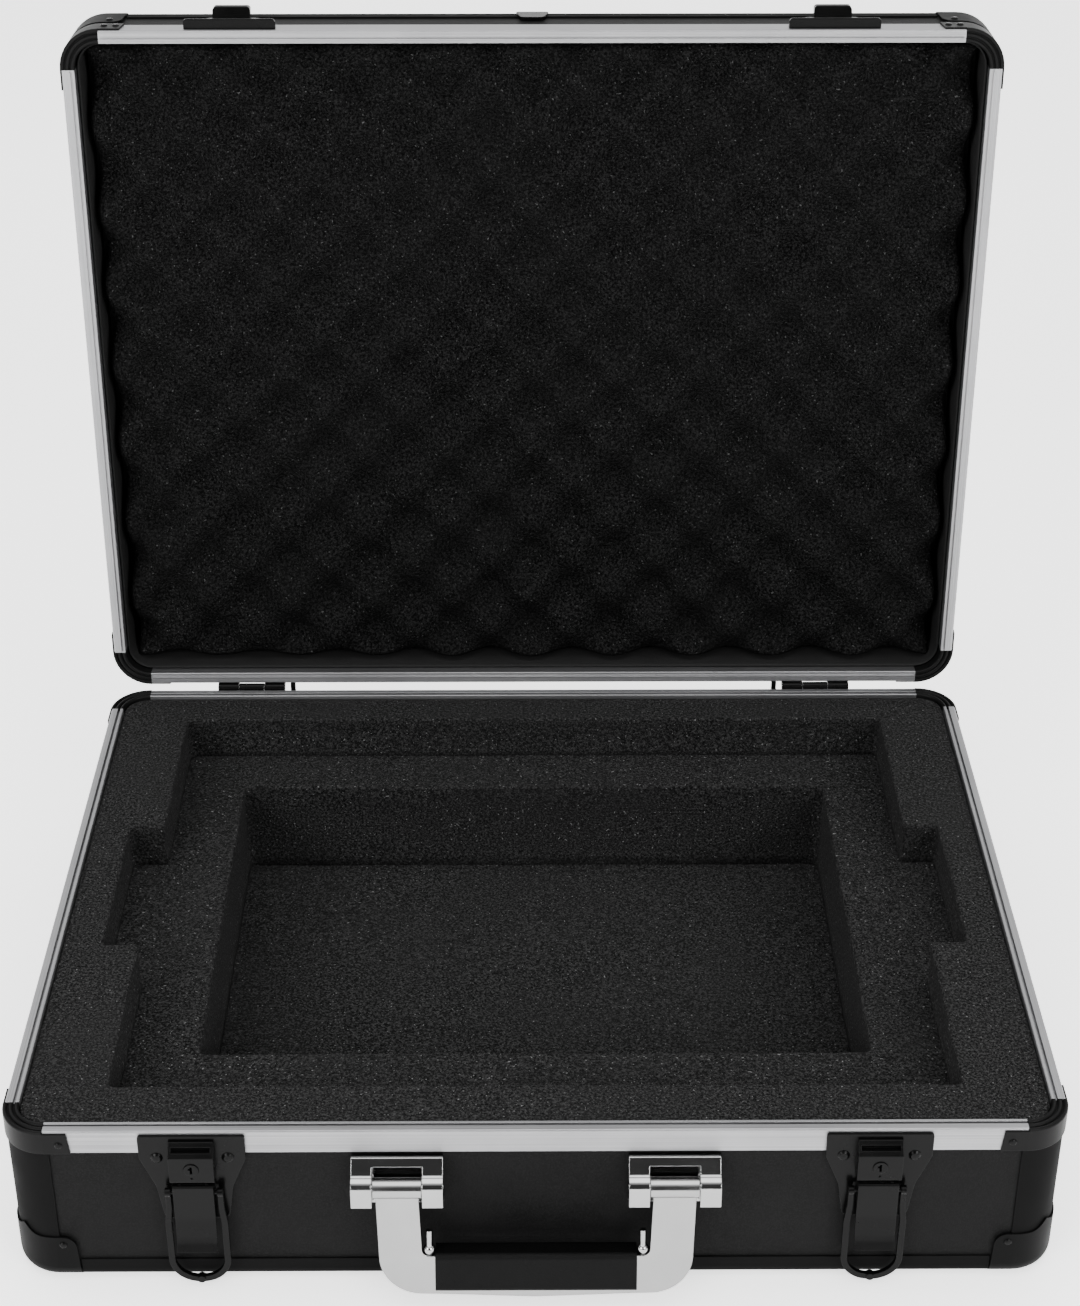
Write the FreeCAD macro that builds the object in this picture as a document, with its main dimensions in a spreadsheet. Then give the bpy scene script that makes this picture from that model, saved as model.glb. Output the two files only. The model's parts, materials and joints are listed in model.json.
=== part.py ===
import FreeCAD, Part

import math
import os
import re
from types import SimpleNamespace

# Attache case with an aluminium rim, standing open. Millimetres.
#
# Origin: centre of the open case's bounding box, on the surface the case stands on. The
# pieces are drawn about the centre of the base's footprint, and setback moves them all.
# +X is to the right of someone facing the latches, +Y is towards the hinges, +Z is up.
# Both halves of the shell are the same tub: a floor board, four wall boards, edge strips,
# corner posts, ball corners, rim rails and rim corners. The lid's tub is turned over and
# swung open about the hinges.

SIZES = {
    # overall
    "case_width": 526.0,
    "case_depth": 411.0,
    "base_height": 98.0,
    "lid_height": 46.0,
    "seam_gap": 0.4,
    "open_angle": 93.0,
    "setback": 23.5,
    # shell
    "skin": 1.0,
    "board": 5.0,
    "corner_radius": 22.0,
    "strip_leg": 13.4,
    "strip_radius": 6.0,
    "cap_radius": 8.0,
    "cap_reach": 33.5,
    "post_leg": 24.0,
    # rim
    "rim_width": 7.3,
    "rim_band": 6.0,
    "flange_drop": 13.5,
    "groove_near": 4.0,
    "groove_far": 5.5,
    "tab_reach": 35.0,
    # foam
    "foam_gap": 0.3,
    "foam_top": 96.0,
    "tray_floor": 69.0,
    "pad_top": 10.3,
    "tray_half_width": 214.2,
    "tray_front": -169.3,
    "tray_rear": 173.4,
    "notch_half_width": 234.2,
    "notch_front": -53.1,
    "notch_rear": 57.6,
    "well_half_width": 177.0,
    "well_front": -112.5,
    "well_rear": 138.0,
    "lid_foam_top": 37.0,
    # hinges
    "hinge_offset": 2.8,
    "hinge_x": 178.0,
    "hinge_half": 21.0,
    "knuckle_radius": 2.6,
    "hinge_pin_radius": 1.2,
    "stop_x": 152.0,
    # front fittings, drawn this far above the case's underside
    "fitting_lift": 4.0,
    # latches
    "latch_x": 168.5,
    "keeper_x": 168.3,
    "sheet": 1.6,
    "lever_pivot_out": 4.6,
    "lever_pivot_up": 63.6,
    "loop_pivot_out": 5.2,
    "loop_pivot_up": 59.4,
    "loop_bottom": 0.2,
    "lever_pin_radius": 1.2,
    "loop_pin_radius": 1.1,
    "plug_radius": 3.6,
    "plug_up": 76.3,
    "running_gap": 0.05,
    # handle
    "bracket_x": 68.2,
    "bracket_half": 22.6,
    "handle_pivot_out": 8.0,
    "handle_pivot_up": 64.3,
    "handle_pin_radius": 2.0,
    "handle_tilt": 12.0,
    "hub_radius": 5.3,
    "frame_thickness": 4.5,
    "grip_half": 50.0,
}

DOC = FreeCAD.newDocument("attache_case")
SHEET = DOC.addObject("Spreadsheet::Sheet", "Dimensions")
for row, (word, number) in enumerate(SIZES.items(), start=1):
    SHEET.set(f"A{row}", word)
    SHEET.set(f"B{row}", str(number))
    SHEET.setAlias(f"B{row}", word)
DOC.recompute()
D = SimpleNamespace(**{word: float(SHEET.get(word)) for word in SIZES})

NODES = {}
X_AXIS = FreeCAD.Vector(1, 0, 0)
Y_AXIS = FreeCAD.Vector(0, 1, 0)
Z_AXIS = FreeCAD.Vector(0, 0, 1)
HERE = FreeCAD.Placement()


def words(text):
    """An expression of the sheet's words, with each word pointed at the sheet."""
    return re.sub(r"[a-z]+(_[a-z]+)*", lambda word: "Dimensions." + word.group(0), str(text))


def place(x=0.0, y=0.0, z=0.0, axis=Z_AXIS, angle=0.0):
    return FreeCAD.Placement(FreeCAD.Vector(x, y, z), FreeCAD.Rotation(axis, angle))


# The lid is turned over onto the base, then swung open about the hinge line.
HINGE = FreeCAD.Vector(0, D.case_depth / 2 + D.hinge_offset, D.base_height + D.seam_gap / 2)
OPEN = FreeCAD.Placement(FreeCAD.Vector(), FreeCAD.Rotation(X_AXIS, -D.open_angle), HINGE)
LID_TOP = D.base_height + D.seam_gap + D.lid_height
TURNED = OPEN.multiply(place(z=LID_TOP, axis=X_AXIS, angle=180))

HALF_WIDTH = D.case_width / 2
HALF_DEPTH = D.case_depth / 2
# Along each wall, local X runs along the wall and local Y runs inwards from its outer face.
WALLS = {
    "front": place(y=-HALF_DEPTH),
    "right": place(x=HALF_WIDTH, angle=90),
    "rear": place(y=HALF_DEPTH, angle=180),
    "left": place(x=-HALF_WIDTH, angle=-90),
}
# At each corner, local +X and +Y point out of the two walls, from the corner arc's centre.
CORNERS = [
    place(sx * (HALF_WIDTH - D.corner_radius), sy * (HALF_DEPTH - D.corner_radius), 0, Z_AXIS, turn)
    for sx, sy, turn in ((1, 1, 0), (-1, 1, 90), (-1, -1, 180), (1, -1, 270))
]


# ---------------------------------------------------------------- building blocks

def block(name, x, y, z):
    """A block between two corners; each limit is a number or an expression."""
    item = DOC.addObject("Part::Box", name)
    for axis, side, (low, high) in zip("xyz", ("Length", "Width", "Height"), (x, y, z)):
        item.setExpression(f"Placement.Base.{axis}", words(low))
        item.setExpression(side, words(f"({high}) - ({low})"))
    return item


def rod(name, radius, length, centre, axis):
    """A cylinder centred on a point, along X or along Y."""
    item = DOC.addObject("Part::Cylinder", name)
    item.setExpression("Radius", words(radius))
    item.setExpression("Height", words(length))
    DOC.recompute()
    start = FreeCAD.Vector(*centre) - axis * (item.Height.Value / 2)
    item.Placement = FreeCAD.Placement(start, FreeCAD.Rotation(Z_AXIS, axis))
    return item


def ball(name, radius, centre):
    item = DOC.addObject("Part::Sphere", name)
    item.setExpression("Radius", words(radius))
    item.Placement = place(*centre)
    return item


def outline(sketch, points):
    """A closed outline through (x, y) points; a third number rounds that corner."""
    joints = []
    for index, point in enumerate(points):
        here = FreeCAD.Vector(point[0], point[1], 0)
        before = FreeCAD.Vector(*points[index - 1][:2], 0) - here
        after = FreeCAD.Vector(*points[(index + 1) % len(points)][:2], 0) - here
        if len(point) < 3:
            joints.append((here, None, here))
            continue
        half = before.getAngle(after) / 2
        before.normalize()
        after.normalize()
        reach = point[2] / math.tan(half)
        inward = before + after
        inward.normalize()
        middle = here + inward * (point[2] / math.sin(half) - point[2])
        joints.append((here + before * reach, middle, here + after * reach))
    for index, (start, middle, end) in enumerate(joints):
        if middle is not None:
            sketch.addGeometry(Part.Arc(start, middle, end), False)
        following = joints[(index + 1) % len(joints)][0]
        if end.distanceToPoint(following) > 1e-6:
            sketch.addGeometry(Part.LineSegment(end, following), False)


def sketched(name, plane, start, outlines):
    """A body with one sketch, parallel to one of its own origin planes."""
    body = DOC.addObject("PartDesign::Body", name)
    sketch = body.newObject("Sketcher::SketchObject", name + "_sketch")
    support = [item for item in body.Origin.OriginFeatures if item.Role == plane]
    sketch.AttachmentSupport = [(support[0], "")]
    sketch.MapMode = "FlatFace"
    sketch.setExpression("AttachmentOffset.Base.z", words(start))
    for points in outlines:
        outline(sketch, points)
    return body, sketch


def slab(name, plane, outlines, start, thickness):
    """Outlines padded from start, along the plane's normal: +Z, -Y or +X."""
    body, sketch = sketched(name, plane, start, outlines)
    pad = body.newObject("PartDesign::Pad", name + "_pad")
    pad.Profile = sketch
    pad.setExpression("Length", words(thickness))
    return body


def turned(name, points, angle=360.0):
    """An outline of (radius, height) points revolved about Z, evenly to both sides of +X."""
    body, sketch = sketched(name, "XZ_Plane", 0, [points])
    revolution = body.newObject("PartDesign::Revolution", name + "_revolution")
    revolution.Profile = sketch
    revolution.ReferenceAxis = (sketch, ["V_Axis"])
    revolution.Angle = angle
    revolution.Midplane = True
    return body


def rounded(body, radius, wanted):
    """A fillet on the edges of the body that pass the test."""
    DOC.recompute()
    edges = [f"Edge{n}" for n, edge in enumerate(body.Tip.Shape.Edges, start=1) if wanted(edge)]
    if not edges:
        raise RuntimeError(f"{body.Name}: no edge to round")
    fillet = body.newObject("PartDesign::Fillet", f"{body.Name}_round_{len(body.Group)}")
    fillet.Base = (body.Tip if body.Tip != fillet else body.Group[-2], edges)
    fillet.setExpression("Radius", words(radius))
    body.Tip = fillet
    return body


def fuse(name, *items):
    item = DOC.addObject("Part::MultiFuse", name)
    item.Shapes = list(items)
    return item


def cut(name, base, tool):
    """The base less the tool. The tool has to take something away."""
    item = DOC.addObject("Part::Cut", name)
    item.Base = base
    item.Tool = tool
    DOC.recompute()
    if item.Shape.Volume > base.Shape.Volume - 1e-3:
        raise RuntimeError(f"{name}: the cut takes nothing away")
    return item


def common(name, *items):
    item = DOC.addObject("Part::MultiCommon", name)
    item.Shapes = list(items)
    return item


def group(name, item, placements):
    """Separate copies of one piece, each in its own place."""
    links = []
    for number, placement in enumerate(placements, start=1):
        link = DOC.addObject("App::Link", f"{name}_{number}")
        link.LinkedObject = item
        link.LinkTransform = True
        link.LinkPlacement = placement
        links.append(link)
    whole = DOC.addObject("Part::Compound", name)
    whole.Links = links
    return whole


def node(label, item, placement=HERE):
    """Names a finished sub-part and puts it in its place."""
    item.Label = label
    item.Placement = place(y=-D.setback).multiply(placement).multiply(item.Placement)
    NODES[label] = item
    return item


# ---------------------------------------------------------------- the shell's two tubs

def wall_span(wall):
    """Straight length between the corner arcs."""
    side = "case_width" if wall in ("front", "rear") else "case_depth"
    return f"({side} - 2 * corner_radius)"


def hollow(name, inset, radius, reach, low):
    """The space inside the shell near one wall's bottom edge, rounded along that edge."""
    points = [(inset, 200.0), (inset, low, radius), (150.0, low), (150.0, 200.0)]
    return slab(name, "YZ_Plane", [points], f"0 - {reach} / 2", reach)


def wall_board(prefix, wall, height):
    """A wall board between two corner posts, rounded under to follow the bottom edge."""
    name = f"{prefix}_{wall}_panel"
    span = wall_span(wall)
    sheet = block(
        name + "_sheet",
        (f"0 - {span} / 2", f"{span} / 2"),
        ("skin", "skin + board"),
        (4.0, f"{height} - rim_band"),
    )
    inside = hollow(name + "_inside", D.skin, D.cap_radius - D.skin, span, 2 * D.skin)
    return common(name, sheet, inside)


def floor_board(prefix):
    """The floor board, rounded to fit inside the corner posts and over the edge strips."""
    name = f"{prefix}_floor"
    x = HALF_WIDTH - D.skin - D.board - 1.0
    y = HALF_DEPTH - D.skin - D.board - 1.0
    radius = D.corner_radius - D.skin - D.board - 1.0
    corners = [(x, y, radius), (-x, y, radius), (-x, -y, radius), (x, -y, radius)]
    board = slab(name + "_board", "XY_Plane", [corners], "2 * skin", "board")
    x = HALF_WIDTH - D.skin
    y = HALF_DEPTH - D.skin
    radius = D.corner_radius - D.skin
    corners = [(x, y, radius), (-x, y, radius), (-x, -y, radius), (x, -y, radius)]
    inside = slab(name + "_inside", "XY_Plane", [corners], "2 * skin", 60.0)
    rounded(inside, D.cap_radius - D.skin, lambda edge: edge.BoundBox.ZMax < 2 * D.skin + 1e-3)
    return common(name, board, inside)


def edge_strip(prefix, wall):
    """One aluminium strip over a bottom edge, between two ball corners."""
    name = f"{prefix}_{wall}_strip"
    side = "case_width" if wall == "front" else "case_depth"
    span = f"({side} - 2 * cap_reach)"
    outer = [
        (0.0, D.strip_leg),
        (0.0, D.skin, D.strip_radius),
        (D.strip_leg, D.skin),
        (D.strip_leg, D.strip_leg),
    ]
    bar = slab(name + "_bar", "YZ_Plane", [outer], f"0 - {span} / 2", span)
    inside = hollow(name + "_inside", D.skin, D.cap_radius - D.skin, span, 2 * D.skin)
    return cut(name, bar, inside)


def rail_outline(height, grooved):
    """Section of a rim rail: outer flange, top band with or without a groove, and inner leg."""
    points = [
        (0.0, height - D.flange_drop),
        (0.0, height, 1.0),
    ]
    if grooved:
        points += [
            (D.groove_near, height),
            (D.groove_near, height - 2.0),
            (D.groove_far, height - 2.0),
            (D.groove_far, height),
        ]
    leg = D.skin + D.board + 0.05
    return points + [
        (D.rim_width, height, 0.4),
        (D.rim_width, height - 5.5),
        (leg + 1.1, height - 5.5),
        (leg + 1.1, height - 13.0),
        (leg, height - 13.0),
        (leg, height - D.rim_band),
        (D.skin, height - D.rim_band),
        (D.skin, height - D.flange_drop),
    ]


def rim_rail(prefix, wall, height, tongue):
    """A rim rail. The lid's has a tongue for the base's groove, stopping short of both ends."""
    span = wall_span(wall)
    name = f"{prefix}_{wall}_rail"
    start = f"0 - {span} / 2"
    rail = slab(name, "YZ_Plane", [rail_outline(height, not tongue)], start, span)
    if not tongue:
        return rail
    middle = (D.groove_near + D.groove_far) / 2
    low, high = height - 1.0, height + 1.5
    ridge = [(middle - 0.4, low), (middle + 0.4, low), (middle + 0.4, high), (middle - 0.4, high)]
    return fuse(name + "_tongued", rail,
                slab(name + "_tongue", "YZ_Plane", [ridge], f"1 - {span} / 2", f"{span} - 2"))


def corner_block(name, reach, radius, low, bottom_radius, height):
    """A solid corner of the case, from the corner arc's centre outwards."""
    points = [(-60.0, -60.0), (reach, -60.0), (reach, reach, radius), (-60.0, reach)]
    body = slab(name, "XY_Plane", [points], low, height)

    def bottom(edge):
        box = edge.BoundBox
        return box.ZMax < low + 1e-3 and max(box.XMax, box.YMax) > reach - 0.1 and (
            box.XMin > -59.0 or box.YMin > -59.0)

    return rounded(body, bottom_radius, bottom)


def corner_post(prefix, height):
    """A rounded aluminium post that holds the ends of two wall boards."""
    name = f"{prefix}_corner_post"
    radius = D.corner_radius
    solid = corner_block(name + "_solid", radius, radius, D.skin, D.cap_radius, height - 7.0)
    low = radius - D.post_leg
    column = block(name + "_column", (low, 30.0), (low, 30.0), (0.0, height))
    inset = radius - D.skin - D.board - 1.0
    void_points = [(-80.0, -80.0), (inset, -80.0), (inset, inset, inset), (-80.0, inset)]
    void = slab(name + "_void", "XY_Plane", [void_points], 0.0, height)
    outer = radius - D.skin
    inner = outer - D.board
    under = height - D.flange_drop - 0.05
    tools = [
        void,
        block(name + "_slot_x", (-80.0, 0.0), (inner, outer), (0.0, height)),
        block(name + "_slot_y", (inner, outer), (-80.0, 0.0), (0.0, height)),
        block(name + "_rail_x", (-80.0, 0.0), (inner - 2.0, radius + 1.0), (under, height)),
        block(name + "_rail_y", (inner - 2.0, radius + 1.0), (-80.0, 0.0), (under, height)),
    ]
    return cut(name, common(name + "_blank", solid, column), fuse(name + "_tools", *tools))


def ball_corner(prefix, height):
    """A pressed steel cap over a bottom corner, with an S-curved upper edge on each face."""
    name = f"{prefix}_ball_corner"
    radius = D.corner_radius
    outer = corner_block(name + "_outer", radius + D.skin, radius + D.skin, 0.0,
                         D.cap_radius + D.skin, height)
    inner = corner_block(name + "_inner", radius, radius, D.skin, D.cap_radius, height)
    shell = cut(name + "_shell", outer, inner)
    edge = radius - D.cap_reach
    crest = min(37.5, height - D.flange_drop - 0.2)
    face = [
        (24.0, -1.0),
        (24.0, crest),
        (19.5, crest - 0.5, 6.0),
        (11.0, 29.0, 8.0),
        (edge + 1.5, 29.0, 7.0),
        (edge, -1.0),
    ]
    along_y = slab(name + "_face", "XZ_Plane", [face], -40.0, 120.0)
    along_x = slab(name + "_side", "YZ_Plane", [face], -60.0, 120.0)
    return common(name, shell, along_y, along_x)


def rim_corner(prefix, height):
    """A ribbed elbow joining two rim rails, in one piece with a tab down over the flanges."""
    name = f"{prefix}_rim_corner"
    radius = D.corner_radius
    rib = 1.2
    top = height - rib
    low = height - D.rim_band + 0.05
    body, sketch = sketched(name + "_elbow", "XZ_Plane", 0, [])
    far = radius - D.rim_width
    near = radius + D.skin
    path = [(far, low), (far, top)]
    centres = [far + rib, (far + near) / 2, near - rib]
    corners = []
    for centre in centres:
        corners.append((path[-1], (centre - rib, top)))
        corners.append(((centre - rib, top), (centre, height), (centre + rib, top)))
        path.append((centre + rib, top))
    corners.append((path[-1], (near, top)))
    corners.append(((near, top), (near, low)))
    corners.append(((near, low), (far, low)))
    corners.insert(0, ((far, low), (far, top)))
    for corner in corners:
        ends = [FreeCAD.Vector(x, z, 0) for x, z in corner]
        if len(ends) == 3:
            sketch.addGeometry(Part.Arc(*ends), False)
        elif ends[0].distanceToPoint(ends[1]) > 1e-6:
            sketch.addGeometry(Part.LineSegment(*ends), False)
    revolution = body.newObject("PartDesign::Revolution", name + "_revolution")
    revolution.Profile = sketch
    revolution.ReferenceAxis = (sketch, ["V_Axis"])
    revolution.Angle = 90.0
    revolution.Midplane = True
    elbow = group(name + "_elbow_turned", body, [place(angle=45)])
    end = radius - D.tab_reach
    band = [
        (end, near), (near, near, near), (near, end), (radius, end), (radius, radius, radius),
        (end, radius),
    ]
    low = height - D.flange_drop
    tab = slab(name + "_tab_band", "XY_Plane", [band], low, D.flange_drop - rib)
    slant = [(40.0, height + 1.0), (end + 1.7, height + 1.0), (end, low - 0.5), (40.0, low - 0.5)]
    along_y = slab(name + "_tab_face", "XZ_Plane", [slant], -40.0, 80.0)
    along_x = slab(name + "_tab_side", "YZ_Plane", [slant], -40.0, 80.0)
    return fuse(name, elbow, common(name + "_tab", tab, along_y, along_x))


def rivet(name, radius, rise):
    """A domed rivet head standing on a surface, its axis along Z."""
    points = [(0.0, 0.0), (radius, 0.0), (radius, 0.25), (radius * 0.62, rise * 0.9),
              (0.0, rise)]
    return turned(name, points)


def tub(prefix, height, tongue, whole, swap):
    """One half of the shell. swap names the wall that each local wall becomes."""
    span_word = "base_height" if prefix == "base" else "lid_height"
    floor_name = "base_floor_panel" if prefix == "base" else "lid_top_panel"
    node(floor_name, floor_board(prefix), whole)
    for wall, named in swap.items():
        panel = wall_board(prefix, wall, span_word)
        node(f"{prefix}_{named}_panel", panel, whole.multiply(WALLS[wall]))
        rail = rim_rail(prefix, wall, height, tongue)
        node(f"{prefix}_rim_{named}", rail, whole.multiply(WALLS[wall]))
    strips = [
        group(f"{prefix}_strips_{wall}", edge_strip(prefix, wall), [WALLS[wall], WALLS[other]])
        for wall, other in (("front", "rear"), ("right", "left"))
    ]
    all_strips = DOC.addObject("Part::Compound", f"{prefix}_all_strips")
    all_strips.Links = strips
    node(f"{prefix}_edge_strips", all_strips, whole)
    for label, piece in (
        ("corner_posts", corner_post(prefix, height)),
        ("ball_corners", ball_corner(prefix, height)),
        ("rim_corners", rim_corner(prefix, height)),
    ):
        node(f"{prefix}_{label}", group(f"{prefix}_{label}_set", piece, CORNERS), whole)


def corner_rivet_places(height, on_tabs):
    """Where the small rivets stand on the four corners: on the tabs and on the ball corners."""
    out = D.corner_radius + D.skin
    spots = [(s, height - 8.0) for s in on_tabs] + [(25.5, 24.0)]
    places = []
    for corner in CORNERS:
        for along, up in spots:
            reach = D.corner_radius - along
            places.append(corner.multiply(place(reach, out, up, X_AXIS, -90)))
            places.append(corner.multiply(place(out, reach, up, Y_AXIS, 90)))
    return places


# ---------------------------------------------------------------- foam and lining

def tray_layer():
    """Upper foam layer: the tray opening with a hand notch on each side."""
    x = HALF_WIDTH - D.rim_width - D.foam_gap
    y = HALF_DEPTH - D.rim_width - D.foam_gap
    outer = [(x, y, 14.4), (-x, y, 14.4), (-x, -y, 14.4), (x, -y, 14.4)]
    wide = D.tray_half_width
    notch = D.notch_half_width
    right = [
        (wide, D.tray_front, 4.0), (wide, D.notch_front, 2.0), (notch, D.notch_front, 3.0),
        (notch, D.notch_rear, 3.0), (wide, D.notch_rear, 2.0), (wide, D.tray_rear, 4.0),
    ]
    left = [(-px, py, radius) for px, py, radius in reversed(right)]
    return slab("tray_layer", "XY_Plane", [outer, right + left], "tray_floor",
                "foam_top - tray_floor")


def well_layer():
    """Lower foam layer: a rectangular well."""
    x = HALF_WIDTH - D.rim_width - D.foam_gap
    y = HALF_DEPTH - D.rim_width - D.foam_gap
    outer = [(x, y, 14.4), (-x, y, 14.4), (-x, -y, 14.4), (x, -y, 14.4)]
    wide = D.well_half_width
    inner = [
        (wide, D.well_front, 4.0), (wide, D.well_rear, 4.0),
        (-wide, D.well_rear, 4.0), (-wide, D.well_front, 4.0),
    ]
    return slab("well_layer", "XY_Plane", [outer, inner], "pad_top", "tray_floor - pad_top")


def pad_layer():
    """Thin foam pad on the floor board, under the well."""
    x = HALF_WIDTH - D.rim_width - D.foam_gap
    y = HALF_DEPTH - D.rim_width - D.foam_gap
    outer = [(x, y, 14.4), (-x, y, 14.4), (-x, -y, 14.4), (x, -y, 14.4)]
    return slab("pad_layer", "XY_Plane", [outer], "2 * skin + board", "pad_top - 2 * skin - board")


def lid_lining():
    """Thin dark lining round the inside of the lid's walls."""
    rings = []
    for inset in (7.4, 9.0):
        x = HALF_WIDTH - inset
        y = HALF_DEPTH - inset
        radius = D.corner_radius - inset
        rings.append([(x, y, radius), (-x, y, radius), (-x, -y, radius), (x, -y, radius)])
    return slab("lining_ring", "XY_Plane", rings, "2 * skin + board",
                "lid_height - rim_band - 2 * skin - board")


def lid_foam():
    """Convoluted foam sheet in the lid, up to the level of its peaks."""
    x = HALF_WIDTH - 11.0
    y = HALF_DEPTH - 11.0
    outer = [(x, y, 11.0), (-x, y, 11.0), (-x, -y, 11.0), (x, -y, 11.0)]
    return slab("lid_foam_sheet", "XY_Plane", [outer], "2 * skin + board",
                "lid_foam_top - 2 * skin - board")


# ---------------------------------------------------------------- latches
# Local frame of a latch: X along the front, -Y out of the front face, Z from the floor.

def latch_plate(side):
    """Shield-shaped base plate with two upright ears for the lever's pin."""
    name = f"latch_{side}_plate"
    shield = [
        (-26.2, 92.0, 1.5), (26.2, 92.0, 1.5), (26.2, 78.0, 3.0), (19.0, 60.0, 12.0),
        (16.0, 39.0, 4.0), (-16.0, 39.0, 4.0), (-19.0, 60.0, 12.0), (-26.2, 78.0, 3.0),
    ]
    sheet = slab(name + "_sheet", "XZ_Plane", [shield], "0 - skin", "skin + sheet")
    over = block(name + "_over_rim", (-30.0, 30.0), ("0", "skin + 1"),
                 ("base_height - flange_drop - fitting_lift", "base_height"))
    plate = cut(name + "_seat", sheet, over)
    out = D.lever_pivot_out
    up = D.lever_pivot_up
    nose = 2.3
    ear = [
        (-D.sheet + 0.2, up - nose), (-out - nose, up - nose, nose),
        (-out - nose, up + nose, nose), (-D.sheet + 0.2, up + nose),
    ]
    ears = [slab(f"{name}_ear_{n}", "YZ_Plane", [ear], start, 1.6) for n, start in
            enumerate((-7.6, 6.0))]
    hole = rod(name + "_hole", "lever_pin_radius", 30.0, (0, -out, up), X_AXIS)
    return cut(name, fuse(name + "_bent", plate, *ears), hole)


def lock_body(side):
    """Lock housing above the lever: sloping top with a slot, and a bore for the plug."""
    name = f"latch_{side}_lock"
    section = [
        (-D.sheet, 67.6), (-8.0, 67.6, 0.8), (-8.0, 83.4, 1.2), (-3.0, 89.6, 0.8),
        (-D.sheet, 89.6),
    ]
    housing = slab(name + "_housing", "YZ_Plane", [section], -11.0, 22.0)
    bore = rod(name + "_bore", "plug_radius + running_gap", 12.0, (0, -8.0, D.plug_up), Y_AXIS)
    slot = block(name + "_slot", (-9.6, 9.6), (-7.0, -3.6), (85.4, 87.6))
    mark = rod(name + "_mark", 0.6, 2.0, (0, -8.0, D.plug_up - 5.6), Y_AXIS)
    return cut(name, housing, fuse(name + "_tools", bore, slot, mark))


def lock_plug(side):
    """Turning key plug with its keyway."""
    name = f"latch_{side}_plug"
    barrel = rod(name + "_barrel", "plug_radius", 6.4, (0, -5.3, D.plug_up), Y_AXIS)
    keyway = block(name + "_keyway", (-0.6, 0.6), (-9.0, -5.5), ("plug_up - 2.2", "plug_up + 2.2"))
    ward = block(name + "_ward", (-1.5, 0.0), (-9.0, -5.5), ("plug_up + 0.2", "plug_up + 1.3"))
    return cut(name, barrel, fuse(name + "_key_shape", keyway, ward))


def latch_lever(side):
    """Pull-down lever: a front plate with a turned-out tip, and two cheeks for its pins."""
    name = f"latch_{side}_lever"
    plate = [
        (-8.4, 65.3, 1.2), (-8.4, 44.0, 30.0), (-9.4, 31.0, 12.0), (-12.0, 25.2),
        (-10.7, 24.4), (-7.9, 30.6, 10.0), (-7.0, 44.0, 30.0), (-7.0, 65.3),
    ]
    front = slab(name + "_front", "YZ_Plane", [plate], -10.0, 20.0)
    out = D.lever_pivot_out
    up = D.lever_pivot_up
    nose = 2.8
    cheek = [
        (-out + nose, up + nose, nose), (-7.4, 65.3), (-7.4, 47.0), (-7.0, 47.0),
        (-4.0, 56.4, 2.0), (-out + nose, up - 3.4, 1.5),
    ]
    cheeks = [slab(f"{name}_cheek_{n}", "YZ_Plane", [cheek], start, 1.8) for n, start in
              enumerate((-10.0, 8.2))]
    pivot = rod(name + "_pivot", "lever_pin_radius + running_gap", 30.0, (0, -out, up), X_AXIS)
    carry = rod(name + "_carry", "loop_pin_radius", 30.0,
                (0, -D.loop_pivot_out, D.loop_pivot_up), X_AXIS)
    return cut(name, fuse(name + "_bent", front, *cheeks), fuse(name + "_bores", pivot, carry))


def latch_loop(side):
    """Drawn loop that hangs round the lever and reaches up over the keeper's hook."""
    name = f"latch_{side}_loop"
    low = D.loop_bottom
    top = D.loop_pivot_up
    outer = [
        (-14.3, top), (-14.3, 50.0, 10.0), (-15.5, 40.0, 10.0), (-15.5, low, 15.0),
        (15.5, low, 15.0), (15.5, 40.0, 10.0), (14.3, 50.0, 10.0), (14.3, top),
        (11.5, top), (11.5, 50.0, 10.0), (12.4, 40.0, 10.0), (12.4, low + 3.3, 11.8),
        (-12.4, low + 3.3, 11.8), (-12.4, 40.0, 10.0), (-11.5, 50.0, 10.0), (-11.5, top),
    ]
    strap = slab(name + "_strap", "XZ_Plane", [outer], "loop_pivot_out - 1.2", 2.4)
    centre = -D.loop_pivot_out
    eyes = [rod(f"{name}_eye_{n}", 2.3, 2.8, (x, centre, top), X_AXIS) for n, x in
            enumerate((-12.9, 12.9))]
    knob = rod(name + "_knob", 2.1, 3.4, (0, centre - 0.2, low + 1.9), Y_AXIS)
    hole = rod(name + "_hole", "loop_pin_radius + running_gap", 40.0, (0, centre, top), X_AXIS)
    return cut(name, fuse(name + "_formed", strap, knob, *eyes), hole)


def latches():
    """Both latches, each a plate, a lock with its plug, a lever and a loop with their pins."""
    rivets = []
    pins = []
    for side, sign in (("left", -1), ("right", 1)):
        here = place(sign * D.latch_x, -HALF_DEPTH, D.fitting_lift)
        node(f"latch_plate_{side}", latch_plate(side), here)
        node(f"lock_body_{side}", lock_body(side), here)
        node(f"lock_plug_{side}", lock_plug(side), here)
        node(f"latch_lever_{side}", latch_lever(side), here)
        node(f"latch_loop_{side}", latch_loop(side), here)
        loop_pin = group(
            f"loop_pin_{side}_set",
            rod(f"loop_pin_{side}_rod", "loop_pin_radius", 29.0,
                (0, -D.loop_pivot_out, D.loop_pivot_up), X_AXIS),
            [HERE],
        )
        node(f"latch_loop_pin_{side}", loop_pin, here)
        pins.append(here)
        for x in (-17.5, 17.5):
            rivets.append(here.multiply(place(x, -D.sheet, 78.6, X_AXIS, 90)))
    lever_pin = rod("lever_pin_rod", "lever_pin_radius", 20.0,
                    (0, -D.lever_pivot_out, D.lever_pivot_up), X_AXIS)
    node("latch_lever_pins", group("lever_pin_set", lever_pin, pins))
    node("latch_rivets", group("latch_rivet_set", rivet("latch_rivet", 3.1, 1.3), rivets))


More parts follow.
